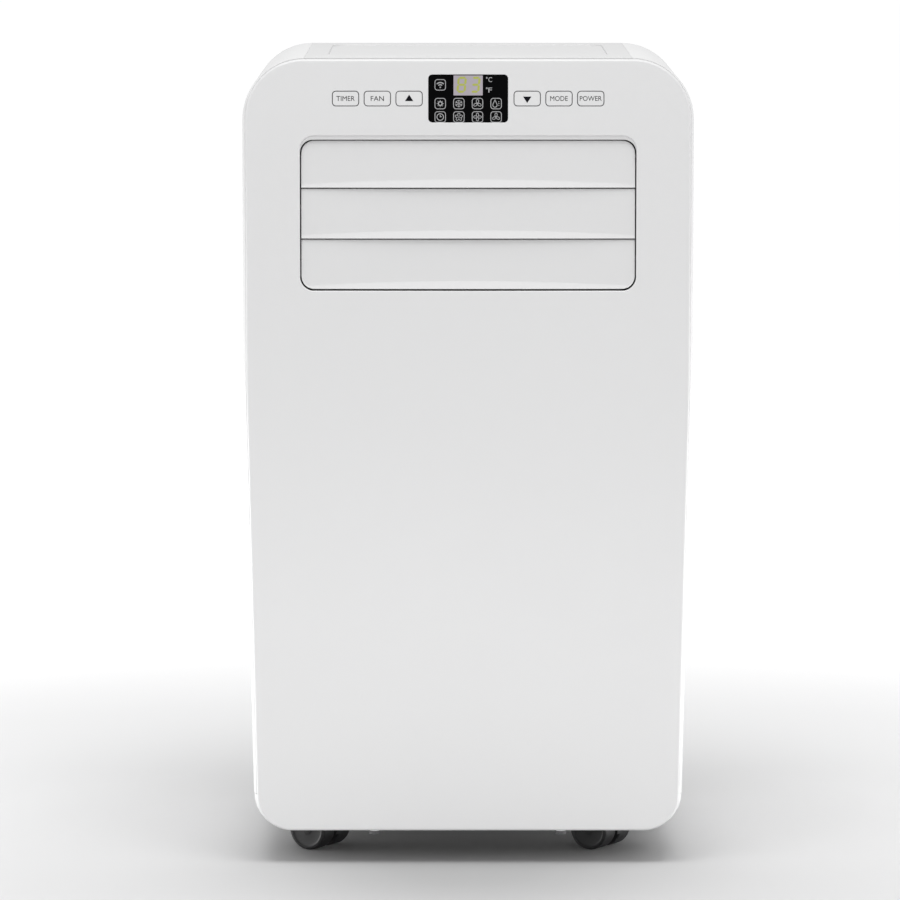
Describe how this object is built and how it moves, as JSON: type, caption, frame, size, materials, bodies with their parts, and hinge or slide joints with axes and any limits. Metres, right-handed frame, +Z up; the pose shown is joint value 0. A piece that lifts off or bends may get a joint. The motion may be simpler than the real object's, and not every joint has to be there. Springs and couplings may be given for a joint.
{
  "type": "portable air conditioner",
  "caption": "White upright portable air conditioner on twin-wheel casters, with a louvred outlet, keys and a dark display on its front, and intake filters and an exhaust collar behind.",
  "frame": {"origin": "on the floor, under the centre of the cabinet's overall box", "axes": "+Z up; the front with the keys and the louvre faces -Y; +X is the right side seen from the front"},
  "size_m": [0.4, 0.34, 0.72],
  "materials": {
    "front_shell": "satin",
    "cabinet_shell": "satin",
    "top_shell": "satin",
    "circuit_board": "satin",
    "display": "gloss",
    "keys": "satin",
    "louvre": "satin",
    "duct_plastic": "matte",
    "filter_plastic": "matte",
    "coil_fins": "satin",
    "fan_plastic": "matte",
    "steel_parts": "satin",
    "compressor_paint": "gloss",
    "rubber_parts": "matte",
    "copper_pipe": "satin",
    "dark_plastic": "matte",
    "caster_plastic": "satin",
    "caster_tread": "satin",
    "screws": "satin"
  },
  "bodies": {
    "cabinet": {"base_pan": "cabinet_shell", "front_panel": "front_shell", "left_side_panel": "cabinet_shell", "right_side_panel": "cabinet_shell", "top_cover": "top_shell", "rear_panel": "cabinet_shell", "left_handle_cup": "cabinet_shell", "right_handle_cup": "cabinet_shell", "control_board": "circuit_board", "display_window": "display", "vent_duct": "duct_plastic", "louvre_motor": "steel_parts", "evaporator_coil": "coil_fins", "evaporator_housing": "duct_plastic", "evaporator_motor": "steel_parts", "drip_tray": "duct_plastic", "condenser_coil": "coil_fins", "condenser_housing": "fan_plastic", "condenser_motor": "steel_parts", "compressor": "compressor_paint", "compressor_mounts": "rubber_parts", "accumulator": "compressor_paint", "refrigerant_pipes": "copper_pipe", "splash_motor": "steel_parts", "electrics_box": "steel_parts", "run_capacitor": "steel_parts", "exhaust_collar": "duct_plastic", "cable_gland": "dark_plastic", "panel_screws": "screws"},
    "key_timer": {"key_timer": "keys"},
    "key_fan": {"key_fan": "keys"},
    "key_up": {"key_up": "keys"},
    "key_down": {"key_down": "keys"},
    "key_mode": {"key_mode": "keys"},
    "key_power": {"key_power": "keys"},
    "louvre_top": {"louvre_top": "louvre"},
    "louvre_middle": {"louvre_middle": "louvre"},
    "louvre_bottom": {"louvre_bottom": "louvre"},
    "louvre_tie_rod": {"louvre_tie_rod": "duct_plastic"},
    "vane_1": {"vane_1": "duct_plastic"},
    "vane_2": {"vane_2": "duct_plastic"},
    "vane_3": {"vane_3": "duct_plastic"},
    "vane_4": {"vane_4": "duct_plastic"},
    "vane_5": {"vane_5": "duct_plastic"},
    "vane_tie_bar": {"vane_tie_bar": "duct_plastic"},
    "evaporator_blower": {"evaporator_blower": "fan_plastic"},
    "condenser_blower": {"condenser_blower": "fan_plastic"},
    "splash_wheel": {"splash_wheel": "fan_plastic"},
    "upper_filter": {"upper_filter": "filter_plastic"},
    "lower_filter": {"lower_filter": "filter_plastic"},
    "upper_drain_cap": {"upper_drain_cap": "dark_plastic"},
    "lower_drain_cap": {"lower_drain_cap": "dark_plastic"},
    "front_left_caster": {"front_left_caster": "caster_plastic"},
    "front_left_wheel": {"front_left_wheel": "caster_tread"},
    "front_right_caster": {"front_right_caster": "caster_plastic"},
    "front_right_wheel": {"front_right_wheel": "caster_tread"},
    "rear_left_caster": {"rear_left_caster": "caster_plastic"},
    "rear_left_wheel": {"rear_left_wheel": "caster_tread"},
    "rear_right_caster": {"rear_right_caster": "caster_plastic"},
    "rear_right_wheel": {"rear_right_wheel": "caster_tread"}
  },
  "joints": [
    {"name": "louvre_top_swing", "type": "hinge", "parent": "cabinet", "child": "louvre_top", "pos_m": [0, -0.155, 0.6333], "axis": [-1, 0, 0], "range_deg": [0, 60]},
    {"name": "louvre_middle_swing", "type": "hinge", "parent": "cabinet", "child": "louvre_middle", "pos_m": [0, -0.155, 0.5883], "axis": [-1, 0, 0], "range_deg": [0, 60]},
    {"name": "louvre_bottom_swing", "type": "hinge", "parent": "cabinet", "child": "louvre_bottom", "pos_m": [0, -0.155, 0.5433], "axis": [-1, 0, 0], "range_deg": [0, 60]},
    {"name": "louvre_tie_rod_turn", "type": "hinge", "parent": "louvre_top", "child": "louvre_tie_rod", "pos_m": [-0.142, -0.14214, 0.64862], "axis": [-1, 0, 0], "range_deg": [-60, 0]},
    {"name": "vane_1_swing", "type": "hinge", "parent": "cabinet", "child": "vane_1", "pos_m": [-0.1, -0.121, 0.583], "axis": [0, 0, 1], "range_deg": [-35, 35]},
    {"name": "vane_2_swing", "type": "hinge", "parent": "cabinet", "child": "vane_2", "pos_m": [-0.05, -0.121, 0.583], "axis": [0, 0, 1], "range_deg": [-35, 35]},
    {"name": "vane_3_swing", "type": "hinge", "parent": "cabinet", "child": "vane_3", "pos_m": [0, -0.121, 0.583], "axis": [0, 0, 1], "range_deg": [-35, 35]},
    {"name": "vane_4_swing", "type": "hinge", "parent": "cabinet", "child": "vane_4", "pos_m": [0.05, -0.121, 0.583], "axis": [0, 0, 1], "range_deg": [-35, 35]},
    {"name": "vane_5_swing", "type": "hinge", "parent": "cabinet", "child": "vane_5", "pos_m": [0.1, -0.121, 0.583], "axis": [0, 0, 1], "range_deg": [-35, 35]},
    {"name": "vane_tie_bar_turn", "type": "hinge", "parent": "vane_1", "child": "vane_tie_bar", "pos_m": [-0.1, -0.103, 0.5183], "axis": [0, 0, 1], "range_deg": [-35, 35]},
    {"name": "key_timer_press", "type": "slide", "parent": "cabinet", "child": "key_timer", "axis": [0, 1, 0], "range_m": [0, 0.0012], "stiffness_N_per_m": 300},
    {"name": "key_fan_press", "type": "slide", "parent": "cabinet", "child": "key_fan", "axis": [0, 1, 0], "range_m": [0, 0.0012], "stiffness_N_per_m": 300},
    {"name": "key_up_press", "type": "slide", "parent": "cabinet", "child": "key_up", "axis": [0, 1, 0], "range_m": [0, 0.0012], "stiffness_N_per_m": 300},
    {"name": "key_down_press", "type": "slide", "parent": "cabinet", "child": "key_down", "axis": [0, 1, 0], "range_m": [0, 0.0012], "stiffness_N_per_m": 300},
    {"name": "key_mode_press", "type": "slide", "parent": "cabinet", "child": "key_mode", "axis": [0, 1, 0], "range_m": [0, 0.0012], "stiffness_N_per_m": 300},
    {"name": "key_power_press", "type": "slide", "parent": "cabinet", "child": "key_power", "axis": [0, 1, 0], "range_m": [0, 0.0012], "stiffness_N_per_m": 300},
    {"name": "evaporator_blower_spin", "type": "hinge", "parent": "cabinet", "child": "evaporator_blower", "pos_m": [0, 0, 0.553], "axis": [0, 1, 0], "continuous": true},
    {"name": "condenser_blower_spin", "type": "hinge", "parent": "cabinet", "child": "condenser_blower", "pos_m": [-0.05, 0.04, 0.19], "axis": [0, 1, 0], "continuous": true},
    {"name": "splash_wheel_spin", "type": "hinge", "parent": "cabinet", "child": "splash_wheel", "pos_m": [0.085, 0.0585, 0.075], "axis": [0, 1, 0], "continuous": true},
    {"name": "upper_filter_slide", "type": "slide", "parent": "cabinet", "child": "upper_filter", "axis": [0, 1, 0], "range_m": [0, 0.06]},
    {"name": "lower_filter_slide", "type": "slide", "parent": "cabinet", "child": "lower_filter", "axis": [0, 1, 0], "range_m": [0, 0.06]},
    {"name": "upper_drain_cap_pull", "type": "slide", "parent": "cabinet", "child": "upper_drain_cap", "axis": [0, 1, 0], "range_m": [0, 0.03]},
    {"name": "lower_drain_cap_pull", "type": "slide", "parent": "cabinet", "child": "lower_drain_cap", "axis": [0, 1, 0], "range_m": [0, 0.03]},
    {"name": "front_left_swivel", "type": "hinge", "parent": "cabinet", "child": "front_left_caster", "pos_m": [-0.1275, -0.089, 0.05], "axis": [0, 0, 1], "continuous": true},
    {"name": "front_left_roll", "type": "hinge", "parent": "front_left_caster", "child": "front_left_wheel", "pos_m": [-0.13413, -0.08453, 0.0195], "axis": [0.5592, 0.829, 0], "continuous": true},
    {"name": "front_right_swivel", "type": "hinge", "parent": "cabinet", "child": "front_right_caster", "pos_m": [0.1275, -0.089, 0.05], "axis": [0, 0, 1], "continuous": true},
    {"name": "front_right_roll", "type": "hinge", "parent": "front_right_caster", "child": "front_right_wheel", "pos_m": [0.12087, -0.08453, 0.0195], "axis": [0.5592, 0.829, 0], "continuous": true},
    {"name": "rear_left_swivel", "type": "hinge", "parent": "cabinet", "child": "rear_left_caster", "pos_m": [-0.1275, 0.105, 0.05], "axis": [0, 0, 1], "continuous": true},
    {"name": "rear_left_roll", "type": "hinge", "parent": "rear_left_caster", "child": "rear_left_wheel", "pos_m": [-0.13413, 0.10053, 0.0195], "axis": [-0.5592, 0.829, 0], "continuous": true},
    {"name": "rear_right_swivel", "type": "hinge", "parent": "cabinet", "child": "rear_right_caster", "pos_m": [0.1275, 0.105, 0.05], "axis": [0, 0, 1], "continuous": true},
    {"name": "rear_right_roll", "type": "hinge", "parent": "rear_right_caster", "child": "rear_right_wheel", "pos_m": [0.12087, 0.10053, 0.0195], "axis": [-0.5592, 0.829, 0], "continuous": true}
  ],
  "couplings": [
    {"joint": "louvre_middle_swing", "follows": "louvre_top_swing", "ratio": 1},
    {"joint": "louvre_bottom_swing", "follows": "louvre_top_swing", "ratio": 1},
    {"joint": "louvre_tie_rod_turn", "follows": "louvre_top_swing", "ratio": -1},
    {"joint": "vane_2_swing", "follows": "vane_1_swing", "ratio": 1},
    {"joint": "vane_3_swing", "follows": "vane_1_swing", "ratio": 1},
    {"joint": "vane_4_swing", "follows": "vane_1_swing", "ratio": 1},
    {"joint": "vane_5_swing", "follows": "vane_1_swing", "ratio": 1},
    {"joint": "vane_tie_bar_turn", "follows": "vane_1_swing", "ratio": -1}
  ]
}
